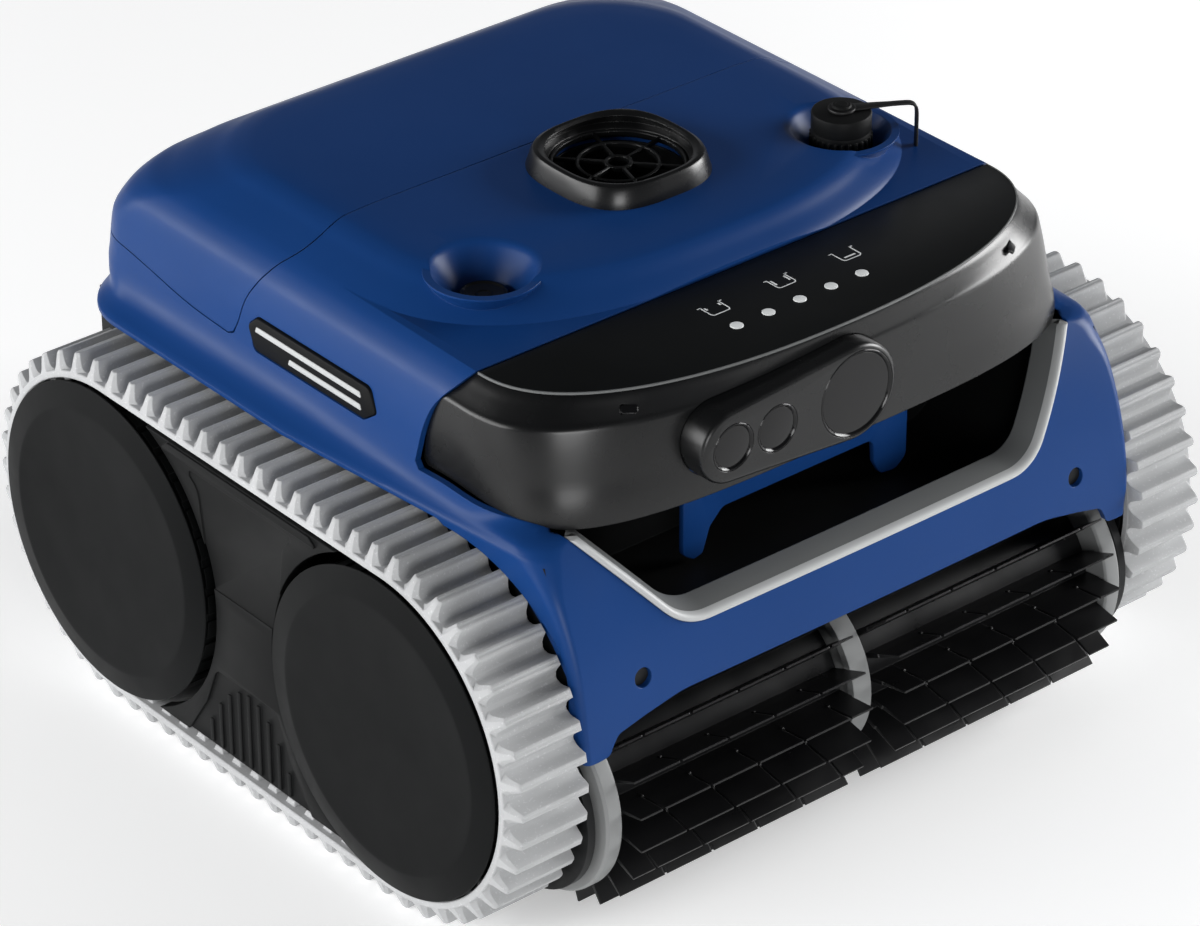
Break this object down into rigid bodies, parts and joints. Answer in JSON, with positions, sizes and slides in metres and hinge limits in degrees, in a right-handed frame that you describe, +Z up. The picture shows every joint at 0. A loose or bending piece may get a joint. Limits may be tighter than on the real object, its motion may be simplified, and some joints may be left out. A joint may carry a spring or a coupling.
{
  "type": "pool cleaner",
  "caption": "Robotic pool cleaner with two rubber tracks, a front roller brush, a bottom suction mouth, a top pump outlet and a hinged lid over a filter basket.",
  "frame": {"origin": "on the ground, in the middle of the width, midway between the front and rear wheel axles", "axes": "X across the width, the front with the brush faces -Y, +Z up"},
  "size_m": [0.4036, 0.3806, 0.2619],
  "materials": {
    "blue_shell": "satin gloss navy blue moulding",
    "black_gloss": "polished black",
    "black_matt": "fine moulded texture, black",
    "hull_black": "moulded black",
    "wheel_black": "satin black with turning marks",
    "track_rubber": "light grey rubber",
    "brush_rubber": "black rubber blades",
    "strap_rubber": "soft black rubber",
    "grey_trim": "light grey moulding",
    "gear_nylon": "natural nylon",
    "light_white": "white light guide",
    "lens_dark": "smoked lens",
    "steel": "stainless steel",
    "motor_grey": "dark grey motor can",
    "battery_blue": "shrink-wrapped cells",
    "board_green": "green circuit board",
    "mesh_grey": "fine filter mesh"
  },
  "bodies": {
    "root": {"lower_hull": "hull_black", "bottom_plate": "black_matt", "left_side_frame": "hull_black", "right_side_frame": "hull_black", "upper_shell": "blue_shell", "lid_hinge_pin": "steel", "visor": "black_gloss", "control_panel": "black_matt", "status_lights": "light_white", "level_windows": "lens_dark", "sensor_bar": "black_gloss", "sensor_lenses": "lens_dark", "handle_trim": "grey_trim", "handle_liner": "black_matt", "outlet_rim": "black_matt", "outlet_grille": "black_matt", "outlet_duct": "hull_black", "pump_motor": "motor_grey", "electronics_box": "hull_black", "box_cover": "hull_black", "battery_pack": "battery_blue", "control_board": "board_green", "left_drive_motor": "motor_grey", "right_drive_motor": "motor_grey", "wheel_axles": "steel", "left_track": "track_rubber", "right_track": "track_rubber", "left_side_cover": "black_matt", "right_side_cover": "black_matt", "brush_bearing": "grey_trim", "filter_basket": "hull_black", "filter_mesh": "mesh_grey", "button_bezel": "black_gloss", "charging_socket": "black_gloss", "cap_strap": "strap_rubber", "left_side_strip": "black_matt", "right_side_strip": "black_matt", "housing_screws": "steel"},
    "lid": {"filter_lid": "blue_shell"},
    "propeller_body": {"propeller": "hull_black"},
    "left_pinion": {"left_motor_pinion": "gear_nylon"},
    "front_left_wheel_set": {"front_left_wheel": "wheel_black", "front_left_cover": "wheel_black"},
    "rear_left_wheel_set": {"rear_left_wheel": "wheel_black", "rear_left_cover": "wheel_black"},
    "left_brush_set": {"left_brush": "brush_rubber", "left_brush_disc": "grey_trim", "left_brush_gear": "gear_nylon"},
    "right_pinion": {"right_motor_pinion": "gear_nylon"},
    "front_right_wheel_set": {"front_right_wheel": "wheel_black", "front_right_cover": "wheel_black"},
    "rear_right_wheel_set": {"rear_right_wheel": "wheel_black", "rear_right_cover": "wheel_black"},
    "right_brush_set": {"right_brush": "brush_rubber", "right_brush_disc": "grey_trim", "right_brush_gear": "gear_nylon"},
    "flap": {"intake_flap": "hull_black"},
    "button": {"power_button": "black_gloss"},
    "cap": {"charging_cap": "black_matt"}
  },
  "joints": [
    {"name": "front_left_wheel_spin", "type": "hinge", "parent": "root", "child": "front_left_wheel_set", "pos_m": [-0.178, -0.099, 0.087], "axis": [1, 0, 0], "continuous": true},
    {"name": "rear_left_wheel_spin", "type": "hinge", "parent": "root", "child": "rear_left_wheel_set", "pos_m": [-0.178, 0.099, 0.087], "axis": [1, 0, 0], "continuous": true},
    {"name": "left_brush_spin", "type": "hinge", "parent": "root", "child": "left_brush_set", "pos_m": [-0.089, -0.13706, 0.059], "axis": [1, 0, 0], "continuous": true},
    {"name": "left_pinion_spin", "type": "hinge", "parent": "root", "child": "left_pinion", "pos_m": [-0.178, -0.0585, 0.087], "axis": [1, 0, 0], "continuous": true},
    {"name": "front_right_wheel_spin", "type": "hinge", "parent": "root", "child": "front_right_wheel_set", "pos_m": [0.178, -0.099, 0.087], "axis": [1, 0, 0], "continuous": true},
    {"name": "rear_right_wheel_spin", "type": "hinge", "parent": "root", "child": "rear_right_wheel_set", "pos_m": [0.178, 0.099, 0.087], "axis": [1, 0, 0], "continuous": true},
    {"name": "right_brush_spin", "type": "hinge", "parent": "root", "child": "right_brush_set", "pos_m": [0.089, -0.13706, 0.059], "axis": [1, 0, 0], "continuous": true},
    {"name": "right_pinion_spin", "type": "hinge", "parent": "root", "child": "right_pinion", "pos_m": [0.178, -0.0585, 0.087], "axis": [1, 0, 0], "continuous": true},
    {"name": "propeller_spin", "type": "hinge", "parent": "root", "child": "propeller_body", "pos_m": [0, -0.015, 0.2276], "axis": [0, 0, 1], "continuous": true},
    {"name": "lid_hinge", "type": "hinge", "parent": "root", "child": "lid", "pos_m": [0, 0.1665, 0.207], "axis": [-1, 0, 0], "range_deg": [0, 95]},
    {"name": "flap_hinge", "type": "hinge", "parent": "root", "child": "flap", "pos_m": [0, 0.079, 0.0667], "axis": [1, 0, 0], "range_deg": [0, 60]},
    {"name": "button_press", "type": "slide", "parent": "root", "child": "button", "axis": [0, 0, -1], "range_m": [0, 0.0025], "stiffness_N_per_m": 400},
    {"name": "cap_turn", "type": "hinge", "parent": "root", "child": "cap", "pos_m": [0.1005, -0.047, 0.25], "axis": [0, 0, 1], "range_deg": [0, 90]}
  ],
  "couplings": [
    {"joint": "rear_left_wheel_spin", "follows": "front_left_wheel_spin", "ratio": 1},
    {"joint": "left_brush_spin", "follows": "front_left_wheel_spin", "ratio": -1.7391},
    {"joint": "left_pinion_spin", "follows": "front_left_wheel_spin", "ratio": -2.8571},
    {"joint": "rear_right_wheel_spin", "follows": "front_right_wheel_spin", "ratio": 1},
    {"joint": "right_brush_spin", "follows": "front_right_wheel_spin", "ratio": -1.7391},
    {"joint": "right_pinion_spin", "follows": "front_right_wheel_spin", "ratio": -2.8571}
  ]
}
